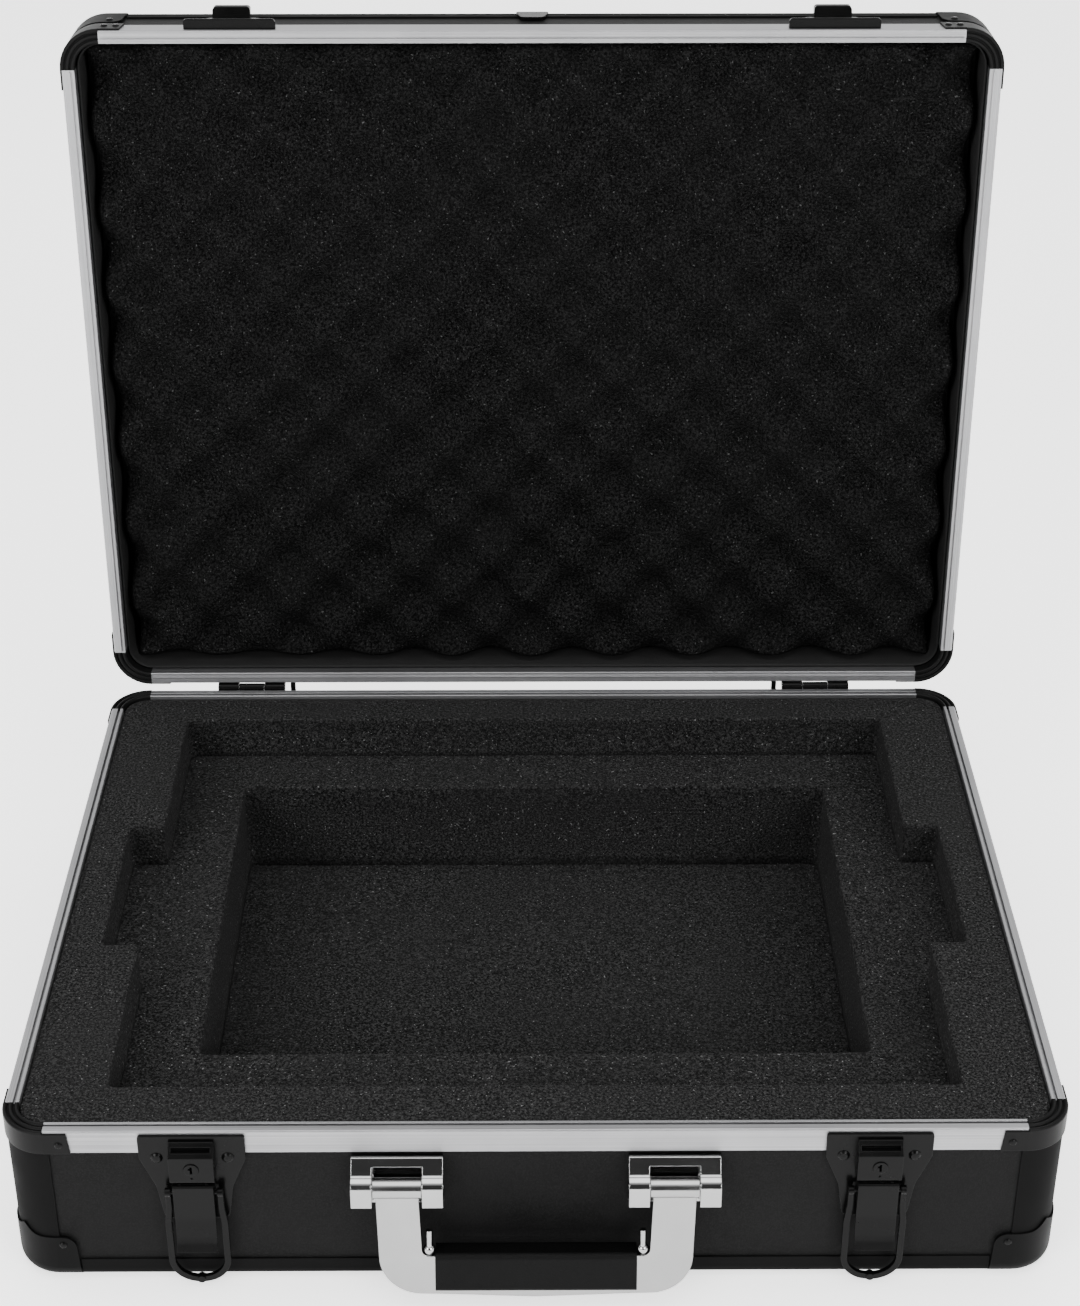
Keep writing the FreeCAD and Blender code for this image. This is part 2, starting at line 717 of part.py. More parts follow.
# ---------------------------------------------------------------- handle
# Local frame of a bracket: X along the front, -Y out of the front face, Z from the floor.

def handle_bracket():
    """Chrome bracket: back plate, sloping roof, and two lugs that hold the handle's pin."""
    half = D.bracket_half
    plate = slab("bracket_plate", "XZ_Plane",
                 [[(-half, 49.0, 2.0), (half, 49.0, 2.0), (half, 79.0, 1.0), (-half, 79.0, 1.0)]],
                 "0 - skin", "skin + 1.8")
    roof_points = [(0.0, 79.0), (-2.8, 79.0, 0.8), (-5.6, 75.45), (-4.6, 74.6), (0.0, 77.0)]
    roof = slab("bracket_roof", "YZ_Plane", [roof_points], -13.2, 26.4)
    lug_points = [
        (0.0, 79.0), (-2.8, 79.0, 0.8), (-8.4, 71.9, 2.0), (-14.4, 71.0, 6.0),
        (-14.4, 56.2, 1.2), (-4.0, 54.6, 2.0), (-1.6, 50.0), (0.0, 50.0),
    ]
    lugs = [slab(f"bracket_lug_{n}", "YZ_Plane", [lug_points], start, half - 12.4)
            for n, start in enumerate((-half, 12.4))]
    hole = rod("bracket_hole", "handle_pin_radius", 60.0,
               (0, -D.handle_pivot_out, D.handle_pivot_up), X_AXIS)
    return cut("bracket", fuse("bracket_cast", plate, roof, *lugs), hole)


# Local frame of the handle: its pivot line is X, and it hangs straight down along -Z.

def handle_frame():
    """Chrome frame: two flat arms with hubs, and the bar that carries the grip."""
    half = D.frame_thickness / 2
    outer = [
        (-79.0, 0.0), (-77.0, -58.4, 21.0), (-50.0, -58.8), (0.0, -60.6), (50.0, -58.8),
        (77.0, -58.4, 21.0), (79.0, 0.0), (58.0, 0.0), (56.4, -37.6, 4.0),
        (-56.4, -37.6, 4.0), (-58.0, 0.0),
    ]
    flat = slab("frame_flat", "XZ_Plane", [outer], f"0 - {half}", "frame_thickness")
    hubs = [rod(f"frame_hub_{n}", "hub_radius", 24.0, (x, 0, 0), X_AXIS)
            for n, x in enumerate((-D.bracket_x, D.bracket_x))]
    bore = rod("frame_bore", "handle_pin_radius + running_gap", 200.0, (0, 0, 0), X_AXIS)
    return cut("frame_bored", fuse("frame_cast", flat, *hubs), bore)


def handle_grip(frame):
    """Black grip moulded round the frame's bar, which shows as a thin line below it."""
    section = [(3.8, -57.0, 2.0), (3.8, -36.0, 3.0), (-12.2, -36.0, 6.0), (-12.2, -57.0, 5.0)]
    turned_section = [(-y, z, radius) for y, z, radius in section]
    grip = slab("grip_block", "YZ_Plane", [turned_section], "0 - grip_half", "2 * grip_half")
    return cut("grip", grip, frame)


def handle_studs():
    """Small ball-headed studs standing on the bar at each end of the grip."""
    studs = []
    for number, x in enumerate((-52.9, 52.9)):
        head = ball(f"stud_ball_{number}", 3.0, (x, 0.0, -34.4))
        stem = rod(f"stud_stem_{number}", 1.5, 3.0, (x, 0.0, -36.2), Z_AXIS)
        shank = rod(f"stud_shank_{number}", 1.6, 9.0, (x, 0.0, -28.4), Z_AXIS)
        studs.append(fuse(f"stud_{number}", head, stem, shank))
    pair = DOC.addObject("Part::Compound", "stud_pair")
    pair.Links = studs
    return pair


def handle():
    sides = [place(sign * D.bracket_x, -HALF_DEPTH, D.fitting_lift) for sign in (-1, 1)]
    node("handle_brackets", group("bracket_set", handle_bracket(), sides))
    pin = rod("handle_pin_rod", "handle_pin_radius", 45.0,
              (0, -D.handle_pivot_out, D.handle_pivot_up), X_AXIS)
    node("handle_pins", group("handle_pin_set", pin, sides))
    hung = place(0, -HALF_DEPTH - D.handle_pivot_out, D.handle_pivot_up + D.fitting_lift,
                 X_AXIS, -D.handle_tilt)
    frame = handle_frame()
    grip = handle_grip(frame)
    studs = cut("studs_seated", handle_studs(), frame)
    node("handle_frame", group("handle_frame_set", frame, [HERE]), hung)
    node("handle_grip", grip, hung)
    node("handle_studs", studs, hung)


# ---------------------------------------------------------------- hinges
# Local frame of a hinge: X along the rear, +Y out of the rear face, Z from the floor.

def base_leaf():
    """Hinge leaf on the base with the middle knuckle."""
    centre = (0, D.hinge_offset, HINGE.z)
    sheet = block("base_leaf_sheet", ("0 - hinge_half", "hinge_half"), ("0 - skin", 1.5),
                  ("base_height - 32", "base_height - 4.5"))
    over = block("base_leaf_over", (-30.0, 30.0), (-3.0, 0.0),
                 ("base_height - flange_drop", "base_height + 1"))
    top = D.base_height
    far = D.hinge_offset + D.knuckle_radius
    bridge_points = [(0.2, top - 8.0), (1.5, top - 8.0), (far, top - 2.0), (far, top), (0.2, top)]
    bridge = slab("base_leaf_bridge", "YZ_Plane", [bridge_points], -7.8, 15.6)
    knuckle = rod("base_knuckle", "knuckle_radius", 15.6, centre, X_AXIS)
    bore = rod("base_knuckle_bore", "hinge_pin_radius", 20.0, centre, X_AXIS)
    seat = cut("base_leaf_seat", sheet, over)
    return cut("base_leaf", fuse("base_leaf_whole", seat, bridge, knuckle), bore)


def lid_leaf():
    """Hinge leaf on the lid with the two outer knuckles, drawn with the lid closed."""
    centre = (0, D.hinge_offset, HINGE.z)
    rim = D.base_height + D.seam_gap
    sheet = block("lid_leaf_sheet", ("0 - hinge_half", "hinge_half"), ("0 - skin", 1.5),
                  (rim + 4.5, rim + 30.0))
    over = block("lid_leaf_over", (-30.0, 30.0), (-3.0, 0.0), (rim, f"{rim} + flange_drop"))
    seat = cut("lid_leaf_seat", sheet, over)
    far = D.hinge_offset + D.knuckle_radius
    bridge_points = [(0.3, rim), (far, rim), (far, rim + 1.6), (1.5, rim + 6.6), (0.3, rim + 6.6)]
    pieces = [seat]
    for number, (start, middle) in enumerate(((-D.hinge_half, -14.55), (8.1, 14.55))):
        pieces.append(slab(f"lid_leaf_bridge_{number}", "YZ_Plane", [bridge_points], start, 12.9))
        pieces.append(rod(f"lid_knuckle_{number}", "knuckle_radius", 12.9, (middle, *centre[1:]), X_AXIS))
    bore = rod("lid_knuckle_bore", "hinge_pin_radius + running_gap", 60.0, centre, X_AXIS)
    return cut("lid_leaf", fuse("lid_leaf_whole", *pieces), bore)


def lid_stop():
    """Bent steel post beside each hinge that the open lid comes to rest on."""
    top = HINGE.z + D.hinge_offset - 0.2
    rim = D.base_height
    low = rim - D.flange_drop
    points = [
        (-D.skin, rim - 26.0), (1.5, rim - 26.0), (1.5, rim - 9.0), (5.8, rim - 4.0),
        (5.8, top), (2.9, top), (2.9, rim - 2.4), (0.0, rim - 5.4), (0.0, low), (-D.skin, low),
    ]
    return slab("stop_post", "YZ_Plane", [points], -1.5, 3.0)


def hinges():
    places = [place(sign * D.hinge_x, HALF_DEPTH) for sign in (-1, 1)]
    node("hinge_base_leaves", group("base_leaf_set", base_leaf(), places))
    node("hinge_lid_leaves", group("lid_leaf_set", lid_leaf(), places), OPEN)
    pin = rod("hinge_pin_rod", "hinge_pin_radius", 42.4, (0, D.hinge_offset, HINGE.z), X_AXIS)
    node("hinge_pins", group("hinge_pin_set", pin, places))
    stops = [place(sign * D.stop_x, HALF_DEPTH) for sign in (-1, 1)]
    node("lid_stop_posts", group("stop_post_set", lid_stop(), stops))


# ---------------------------------------------------------------- lid fittings
# Local frame: X along the front, -Y out of the front face, Z from the lid's rim plane,
# drawn with the lid closed.

def keeper():
    """Keeper plate with a turned-out lip and the hook that a loop catches."""
    plate_points = [
        (-25.5, 3.4, 1.0), (25.5, 3.4, 1.0), (25.5, 9.0, 5.0), (14.0, 24.0, 5.0),
        (-14.0, 24.0, 5.0), (-25.5, 9.0, 5.0),
    ]
    plate = slab("keeper_sheet", "XZ_Plane", [plate_points], "0 - skin", "skin + 1.5")
    over = block("keeper_over", (-30.0, 30.0), (0.0, 3.0), (0.0, "flange_drop"))
    seat = cut("keeper_seat", plate, over)
    lip_points = [(-0.2, 3.4), (-5.7, 3.4, 0.6), (-5.7, 4.9, 0.6), (-0.2, 5.2)]
    lip = slab("keeper_lip_bar", "YZ_Plane", [lip_points], -25.5, 51.0)
    lip_outline = [(-25.5, 1.0), (-25.5, -5.7, 2.2), (25.5, -5.7, 2.2), (25.5, 1.0)]
    lip = common("keeper_lip", lip, slab("keeper_lip_ends", "XY_Plane", [lip_outline], 0.0, 10.0))
    hook_points = [
        (-1.3, 15.0), (-6.0, 16.6, 3.0), (-9.3, 17.6, 1.0), (-9.3, 22.4, 1.0), (-7.4, 22.4),
        (-7.4, 20.8, 1.2), (-1.3, 20.4),
    ]
    hook = slab("keeper_hook_bar", "YZ_Plane", [hook_points], -10.6, 21.2)
    hook_outline = [(-10.6, 1.0), (-10.6, -9.3, 2.4), (10.6, -9.3, 2.4), (10.6, 1.0)]
    hook = common("keeper_hook", hook, slab("keeper_hook_ends", "XY_Plane", [hook_outline], 10.0, 20.0))
    return fuse("keeper", seat, lip, hook)


def centre_clip():
    """Small rounded plate at the middle of the lid's front."""
    points = [(-6.5, 26.0, 3.0), (6.5, 26.0, 3.0), (9.5, 39.0, 1.5), (-9.5, 39.0, 1.5)]
    plate = slab("clip_sheet", "XZ_Plane", [points], "0 - skin", "skin + 1.2")
    over = block("clip_over", (-20.0, 20.0), (0.0, 3.0), ("lid_height - strip_leg", 60.0))
    return cut("clip", plate, over)


def lid_fittings():
    rim = D.base_height + D.seam_gap
    places = [place(sign * D.keeper_x, -HALF_DEPTH, rim) for sign in (-1, 1)]
    node("keepers", group("keeper_set", keeper(), places), OPEN)
    rivets = [spot.multiply(place(x, -1.5, 11.5, X_AXIS, 90)) for spot in places
              for x in (-16.0, 16.0)]
    node("keeper_rivets", group("keeper_rivet_set", rivet("keeper_rivet", 2.4, 1.1), rivets), OPEN)
    clip = group("clip_set", centre_clip(), [place(0, -HALF_DEPTH, rim)])
    node("lid_centre_clip", clip, OPEN)


# ---------------------------------------------------------------- assembly

def small_rivets():
    """Small rivets on the corners and on the hinge leaves of both halves."""
    head = rivet("small_rivet", 2.0, 0.9)
    leaf = [place(sign * D.hinge_x + x, HALF_DEPTH + 1.5, D.base_height - 22.0, X_AXIS, -90)
            for sign in (-1, 1) for x in (-13.0, 0.0, 13.0)]
    base = corner_rivet_places(D.base_height, (29.5,)) + leaf
    node("base_rivets", group("base_rivet_set", head, base))
    rim = D.base_height + D.seam_gap
    leaf = [place(sign * D.hinge_x + x, HALF_DEPTH + 1.5, rim + 21.0, X_AXIS, -90)
            for sign in (-1, 1) for x in (-13.0, 0.0, 13.0)]
    closed = [place(z=LID_TOP, axis=X_AXIS, angle=180).multiply(spot)
              for spot in corner_rivet_places(D.lid_height, (24.5, 31.0))]
    node("lid_rivets", group("lid_rivet_set", head, closed + leaf), OPEN)


def write_parts():
    """Checks every object and writes one file for each sub-part."""
    DOC.recompute()
    for item in DOC.Objects:
        if {"Invalid", "Error"} & set(item.State):
            raise RuntimeError(f"{item.Name}: {item.State}")
    for label, item in NODES.items():
        shape = item.Shape
        if shape.isNull() or not shape.isValid() or not shape.Solids:
            raise RuntimeError(f"{label}: no valid solid")
    os.makedirs("parts", exist_ok=True)
    for label, item in NODES.items():
        item.Shape.exportStep(os.path.join("parts", label + ".step"))
        print(f"{label}: {len(item.Shape.Solids)} solid(s), {item.Shape.Volume / 1000:.2f} cm3")
    print(len(NODES), "sub-parts")


tub("base", D.base_height, False, HERE, {wall: wall for wall in WALLS})
tub("lid", D.lid_height, True, TURNED,
    {"front": "rear", "rear": "front", "left": "left", "right": "right"})
node("foam_tray", tray_layer())
node("foam_well", well_layer())
node("foam_floor_pad", pad_layer())
node("lid_lining", lid_lining(), TURNED)
node("lid_foam", lid_foam(), TURNED)
latches()
handle()
hinges()
lid_fittings()
small_rivets()
write_parts()
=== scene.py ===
import json
import math
import bmesh
import bpy
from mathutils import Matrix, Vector, noise
from mathutils.geometry import delaunay_2d_cdt


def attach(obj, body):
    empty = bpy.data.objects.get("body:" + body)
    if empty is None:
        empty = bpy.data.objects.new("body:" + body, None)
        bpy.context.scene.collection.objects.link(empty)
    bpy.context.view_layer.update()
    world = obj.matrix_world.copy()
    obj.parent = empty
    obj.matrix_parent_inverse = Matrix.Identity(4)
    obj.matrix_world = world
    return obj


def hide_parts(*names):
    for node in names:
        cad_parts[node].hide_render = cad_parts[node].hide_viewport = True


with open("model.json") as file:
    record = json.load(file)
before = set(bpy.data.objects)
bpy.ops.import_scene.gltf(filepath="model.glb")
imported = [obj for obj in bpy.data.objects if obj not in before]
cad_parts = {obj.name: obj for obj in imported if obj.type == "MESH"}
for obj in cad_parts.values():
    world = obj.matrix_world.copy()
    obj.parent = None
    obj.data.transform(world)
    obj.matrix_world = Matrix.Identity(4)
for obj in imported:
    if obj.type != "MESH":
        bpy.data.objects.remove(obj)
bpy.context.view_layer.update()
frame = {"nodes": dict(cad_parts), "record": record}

# noise_vector() shifts its pattern by an offset taken from the clock unless it is seeded.
NOISE_SEED = 1794899503
noise.seed_set(NOISE_SEED)

# An open attache case, in metres. in_base() and in_lid() take millimetres about the centre of
# the base's footprint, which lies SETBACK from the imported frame's origin along Y.

MM = 0.001
SETBACK = -23.5
HINGE_Y, HINGE_Z = 208.3, 98.2      # axis of the lid's hinges
LID_TOP = 144.4                     # height of the lid's outer face, shut
OPEN = math.radians(-93.0)          # turn of the lid from shut to open
HALF_W, HALF_D = 263.0, 205.5       # half the case's width and depth


def in_base(x, y, z):
    return Vector((x, y + SETBACK, z)) * MM


def in_lid(x, y, z):
    """A point of the lid's own tub (z up from the lid's outer face), with the lid open."""
    ry, rz = -y - HINGE_Y, LID_TOP - z - HINGE_Z
    c, s = math.cos(OPEN), math.sin(OPEN)
    return Vector((x, HINGE_Y + c * ry - s * rz + SETBACK, HINGE_Z + s * ry + c * rz)) * MM


# ---------------------------------------------------------------- camera

cam = bpy.data.objects.new("camera", bpy.data.cameras.new("camera"))
bpy.context.scene.collection.objects.link(cam)
cam.data.lens = 67.67
cam.data.sensor_width = 36.0
cam.data.clip_end = 200.0
cam.location = (-0.0026, -1.1393, 0.910)
cam.rotation_euler = (math.radians(59.27), 0.0, math.radians(-0.29))
bpy.context.scene.camera = cam


# ---------------------------------------------------------------- materials

class Shader:
    """A node material: put() adds a node and sets its inputs, linking any that are sockets."""

    def __init__(self, name):
        self.material = bpy.data.materials.new(name)
        self.material.use_nodes = True
        self.tree = self.material.node_tree
        self.surface = self.tree.nodes["Principled BSDF"]
        self.place = self.put("ShaderNodeTexCoord").outputs["Object"]

    def feed(self, socket, value):
        if isinstance(value, bpy.types.NodeSocket):
            self.tree.links.new(value, socket)
        else:
            socket.default_value = value

    def put(self, kind, inputs=(), **settings):
        made = self.tree.nodes.new(kind)
        for key, value in settings.items():
            setattr(made, key, value)
        for key, value in dict(inputs).items():
            self.feed(made.inputs[key], value)
        return made

    def set(self, **values):
        for key, value in values.items():
            self.feed(self.surface.inputs[key.replace("_", " ")], value)

    def scaled(self, scale, turn=(0, 0, 0)):
        turned = self.put("ShaderNodeMapping", {"Vector": self.place, "Rotation": turn})
        return self.put("ShaderNodeMapping",
                        {"Vector": turned.outputs[0], "Scale": scale}).outputs[0]

    def noise(self, scale, detail=3.0, rough=0.55, vector=None):
        return self.put("ShaderNodeTexNoise",
                        {"Vector": vector or self.place, "Scale": scale, "Detail": detail,
                         "Roughness": rough}).outputs["Fac"]

    def cells(self, scale, feature="F1", output="Distance"):
        return self.put("ShaderNodeTexVoronoi", {"Vector": self.place, "Scale": scale},
                        feature=feature).outputs[output]

    def span(self, value, low, high, to_low, to_high):
        return self.put("ShaderNodeMapRange",
                        {"Value": value, "From Min": low, "From Max": high,
                         "To Min": to_low, "To Max": to_high}).outputs[0]

    def maths(self, operation, a, b):
        return self.put("ShaderNodeMath", {0: a, 1: b}, operation=operation).outputs[0]

    def ramp(self, value, stops):
        made = self.put("ShaderNodeValToRGB", {"Fac": value})
        steps = made.color_ramp.elements
        for _ in stops[2:]:
            steps.new(0.5)
        for step, (at, tone) in zip(steps, stops):
            step.position = at
            step.color = grey(tone)
        return made.outputs["Color"]

    def blend(self, factor, a, b):
        made = self.put("ShaderNodeMix", data_type="RGBA")
        for index, value in ((0, factor), (6, a), (7, b)):
            self.feed(made.inputs[index], value)
        return made.outputs[2]

    def bump(self, height, strength, distance, over=None):
        inputs = {"Height": height, "Strength": strength, "Distance": distance}
        if over:
            inputs["Normal"] = over
        return self.put("ShaderNodeBump", inputs).outputs[0]

    def soft_edge(self, radius):
        return self.put("ShaderNodeBevel", {"Radius": radius}, samples=4).outputs[0]


def grey(value):
    return (value, value, value, 1)


def aluminium(name, scale, turn=(0, 0, 0)):
    """Satin extruded aluminium with fine lines along its length."""
    s = Shader(name)
    along = s.scaled(scale, turn)
    lines = s.noise(1.0, 4.0, 0.7, along)
    clouds = s.noise(18.0, 3.0)
    tone = s.maths("ADD", s.span(lines, 0.3, 0.7, -0.07, 0.06),
                   s.span(clouds, 0.3, 0.7, 0.25, 0.29))
    s.set(Base_Color=s.put("ShaderNodeCombineColor",
                           {0: tone, 1: tone, 2: s.maths("ADD", tone, 0.006)}).outputs[0],
          Metallic=1.0, Roughness=s.span(lines, 0.3, 0.7, 0.38, 0.52),
          Normal=s.bump(lines, 0.035, 0.0002, s.soft_edge(0.0005)))
    return s.material


def laminate():
    """Matt black laminate with a fine pebbled grain; the raised pebble tops carry a painted highlight.
    """
    s = Shader("laminate")
    pebbles = s.cells(1150.0, "SMOOTH_F1")
    mottle = s.noise(36.0, 4.0)
    fine = s.noise(2600.0, 2.0)
    tone = s.blend(s.span(mottle, 0.35, 0.65, 0.0, 1.0), grey(0.0026), grey(0.0036))
    # Painted highlight: the raised pebble tops are painted lighter than the dips between them.
    lit_pebble_tops = s.blend(s.span(pebbles, 0.0, 0.5, 0.5, 0.0), tone, grey(0.012))
    s.set(Base_Color=lit_pebble_tops, Roughness=s.span(mottle, 0.3, 0.7, 0.53, 0.58),
          Normal=s.bump(s.maths("ADD", pebbles, s.maths("MULTIPLY", fine, 0.25)), 0.42, 0.00025))
    s.surface.inputs["Specular IOR Level"].default_value = 0.045
    return s.material


def enamel(name, tone, rough, grain, gloss):
    """Black stoved enamel on metal, with a slight orange peel and rubbed edges."""
    s = Shader(name)
    peel = s.noise(620.0, 2.0)
    haze = s.noise(42.0, 4.0)
    edge = s.soft_edge(0.0006)
    flat = s.put("ShaderNodeNewGeometry").outputs["Normal"]
    worn = s.put("ShaderNodeVectorMath", {0: edge, 1: flat}, operation="DOT_PRODUCT").outputs["Value"]
    rubbed = s.maths("MULTIPLY", s.span(worn, 0.90, 0.99, 1.0, 0.0),
                     s.span(haze, 0.42, 0.62, 0.0, 0.7))
    s.set(Base_Color=s.blend(rubbed, grey(tone), grey(tone * 3.0)),
          Roughness=s.span(haze, 0.3, 0.7, rough - 0.05, rough + 0.07),
          Normal=s.bump(peel, grain, 0.0002, edge))
    s.surface.inputs["Specular IOR Level"].default_value = gloss
    return s.material


def moulding():
    """Black moulded plastic of the rim corners, finely eroded."""
    s = Shader("moulding")
    grain = s.noise(1500.0, 3.0)
    haze = s.noise(60.0, 3.0)
    s.set(Base_Color=s.blend(haze, grey(0.003), grey(0.005)),
          Roughness=s.span(haze, 0.3, 0.7, 0.34, 0.44),
          Normal=s.bump(grain, 0.14, 0.0002, s.soft_edge(0.0006)))
    s.surface.inputs["Specular IOR Level"].default_value = 0.05
    return s.material


def chrome(name, tone, rough):
    """Bright plating with faint handling haze and polishing lines."""
    s = Shader(name)
    haze = s.noise(48.0, 5.0)
    lines = s.noise(1.0, 3.0, 0.6, s.scaled((60.0, 900.0, 900.0)))
    s.set(Base_Color=s.blend(haze, grey(tone), grey(tone - 0.05)), Metallic=1.0,
          Roughness=s.maths("ADD", s.span(haze, 0.4, 0.75, rough, rough + 0.09),
                            s.span(lines, 0.4, 0.7, 0.0, 0.03)),
          Normal=s.bump(lines, 0.02, 0.0002, s.soft_edge(0.0006)))
    return s.material


def foam(name, tone, fleck, cell, sheen):
    """Open-cell foam: fine grain, pores painted darker as shade in them, faint patches and a few pale
    specks.
    """
    s = Shader(name)
    pores = s.cells(cell)
    grain = s.noise(cell, 2.0, 0.8)
    patch = s.noise(14.0, 4.0)
    # Painted shade: the pores are painted darker, as shade in the holes of the foam.
    pore_shade = s.maths("MULTIPLY", s.span(pores, 0.0, 0.25, 1.0, 0.0), 0.12)
    body = s.ramp(s.maths("SUBTRACT", grain, pore_shade),
                  [(0.36, tone * 0.15), (0.50, tone), (0.63, tone * 2.9)])
    aged = s.blend(s.span(patch, 0.35, 0.65, 0.0, 0.30), body, grey(tone * 1.3))
    spark = s.maths("GREATER_THAN", s.noise(cell * 1.1, 0.0), 0.80)
    s.set(Base_Color=s.blend(spark, aged, grey(fleck)), Roughness=0.95,
          Normal=s.bump(s.maths("SUBTRACT", grain, pores), 0.8, 0.0005))
    s.surface.inputs["Specular IOR Level"].default_value = 0.02
    s.surface.inputs["Sheen Weight"].default_value = sheen
    s.surface.inputs["Sheen Roughness"].default_value = 0.6
    return s.material


def lining_cloth():
    """Matt black lining with a short nap."""
    s = Shader("lining_cloth")
    nap = s.noise(1800.0, 3.0)
    s.set(Base_Color=s.blend(nap, grey(0.0085), grey(0.0160)), Roughness=0.9,
          Normal=s.bump(nap, 0.5, 0.0004))
    s.surface.inputs["Specular IOR Level"].default_value = 0.02
    return s.material


def grip_rubber():
    """Black grip with a pressed leather-like grain, its creases painted darker as shade."""
    s = Shader("grip_rubber")
    creases = s.cells(620.0, "DISTANCE_TO_EDGE")
    pores = s.noise(1700.0, 2.0)
    haze = s.noise(50.0, 3.0)
    height = s.maths("ADD", s.span(creases, 0.0, 0.12, 0.0, 1.0), s.maths("MULTIPLY", pores, 0.2))
    # Painted shade: the colour darkens towards the creases of the grain.
    s.set(Base_Color=s.blend(s.span(creases, 0.0, 0.10, 0.0, 1.0), grey(0.0008), grey(0.0018)),
          Roughness=s.span(haze, 0.3, 0.7, 0.42, 0.52),
          Normal=s.bump(height, 0.30, 0.0003, s.soft_edge(0.0008)))
    s.surface.inputs["Specular IOR Level"].default_value = 0.06
    return s.material


MATERIALS = {
    "black_laminate": laminate(),
    "black_enamel": enamel("edge_enamel", 0.0038, 0.60, 0.07, 0.018),
    "black_steel": enamel("hardware_enamel", 0.0016, 0.24, 0.10, 0.075),
    "black_moulding": moulding(),
    "chrome": chrome("bright_plating", 0.34, 0.06),
    "steel": chrome("plain_steel", 0.55, 0.24),
    "base_foam": foam("cut_foam", 0.0088, 0.09, 720.0, 0.01),
    "lid_foam": foam("convoluted_foam", 0.0034, 0.035, 720.0, 0.0),
    "lining": lining_cloth(),
    "grip_rubber": grip_rubber(),
}
ALONG_X = aluminium("rail_lines_x", (2.5, 2100.0, 2100.0))
ALONG_Y = aluminium("rail_lines_y", (2100.0, 2.5, 2100.0))
LID_SIDE = aluminium("rail_lines_lid", (2100.0, 2100.0, 2.5), (math.radians(3.0), 0, 0))
CAPS = enamel("cap_enamel", 0.0028, 0.48, 0.09, 0.03)
OWN_LOOKS = {
    "base_ball_corners": CAPS, "lid_ball_corners": CAPS,
    "handle_frame": chrome("brushed_plating", 0.30, 0.15),
    "base_rim_front": ALONG_X, "base_rim_rear": ALONG_X,
    "lid_rim_front": ALONG_X, "lid_rim_rear": ALONG_X,
    "base_rim_left": ALONG_Y, "base_rim_right": ALONG_Y,
    "lid_rim_left": LID_SIDE, "lid_rim_right": LID_SIDE,
}

for part in frame["record"]["subparts"]:
    shown = frame["nodes"][part["node"]]
    look = OWN_LOOKS.get(part["node"]) or MATERIALS[part["material_slot"]]
    for holder in shown.material_slots:
        holder.material = look


# ---------------------------------------------------------------- mesh helpers

CORNER_STEPS = 6


def drawn(name, verts, faces, slot_name, body, stands_for):
    """A mesh piece from points in metres, smooth shaded, riding on its body."""
    mesh = bpy.data.meshes.new(name)
    mesh.from_pydata(verts, [], faces)
    work = bmesh.new()
    work.from_mesh(mesh)
    bmesh.ops.remove_doubles(work, verts=work.verts, dist=2e-6)
    bmesh.ops.recalc_face_normals(work, faces=work.faces)
    for face in work.faces:
        face.smooth = True
    work.to_mesh(mesh)
    work.free()
    piece = bpy.data.objects.new(name, mesh)
    bpy.context.scene.collection.objects.link(piece)
    mesh.materials.append(MATERIALS[slot_name])
    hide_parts(stands_for)
    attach(piece, body)
    return piece


def loop(corners, step=4.0):
    """Points round an anticlockwise outline given as (x, y, corner radius), in millimetres."""
    points = []
    for here, (x, y, radius) in enumerate(corners):
        before = Vector(corners[here - 1][:2])
        after = Vector(corners[(here + 1) % len(corners)][:2])
        corner = Vector((x, y))
        back, ahead = (before - corner).normalized(), (after - corner).normalized()
        start, end = corner + back * radius, corner + ahead * radius
        if points:
            points += straight(points[-1], start, step)
        for k in range(CORNER_STEPS + 1):
            t = k / CORNER_STEPS * math.pi / 2
            points.append(start - back * radius * math.sin(t) + ahead * radius * (1 - math.cos(t)))
        points[-1] = end
    points += straight(points[-1], points[0], step)
    return points


def straight(a, b, step):
    count = max(1, round((b - a).length / step))
    return [a.lerp(b, k / count) for k in range(1, count)]


def normals(points):
    """At each point of an anticlockwise loop, the unit normal pointing out of it."""
    found = []
    for k in range(len(points)):
        run = points[(k + 1) % len(points)] - points[k - 1]
        found.append(Vector((run.y, -run.x)).normalized())
    return found


def skirt(a, b):
    """Quads between two closed rings of as many point numbers."""
    size = len(a)
    return [(a[k], a[(k + 1) % size], b[(k + 1) % size], b[k]) for k in range(size)]


def inside(p, polygon):
    """Whether a point lies in a polygon, by counting the edges to one side of it."""
    odd = False
    for a, b in zip(polygon, polygon[-1:] + polygon[:-1]):
        if (a.y > p.y) != (b.y > p.y) and p.x < (b.x - a.x) * (p.y - a.y) / (b.y - a.y) + a.x:
            odd = not odd
    return odd


def cap(outer, inner, pitch):
    """Triangles filling the outline less its opening, with free points every pitch."""
    flat = list(outer) + list(inner)
    edges = [(k, (k + 1) % len(outer)) for k in range(len(outer))]
    edges += [(len(outer) + k, len(outer) + (k + 1) % len(inner)) for k in range(len(inner))]
    low, high = min(p.x for p in outer), max(p.x for p in outer)
    near, far = min(p.y for p in outer), max(p.y for p in outer)
    for i in range(int((high - low) / pitch)):
        for j in range(int((far - near) / pitch)):
            p = Vector((low + (i + 0.5) * pitch, near + (j + 0.5) * pitch))
            hem = min(p.x - low, high - p.x, p.y - near, far - p.y)
            if hem > pitch * 0.45 and not (inner and inside(p, inner)):
                flat.append(p)
    points, _, faces, *_ = delaunay_2d_cdt(flat, edges, [], 0, 1e-4)
    kept = []
    for face in faces:
        middle = sum((points[k] for k in face), Vector((0, 0))) / len(face)
        if inside(middle, outer) and not (inner and inside(middle, inner)):
            kept.append(face)
    return points, kept


def stirred(p, reach, frequency):
    """Slow, repeatable unevenness, in millimetres."""
    return noise.noise_vector(p * frequency) * reach


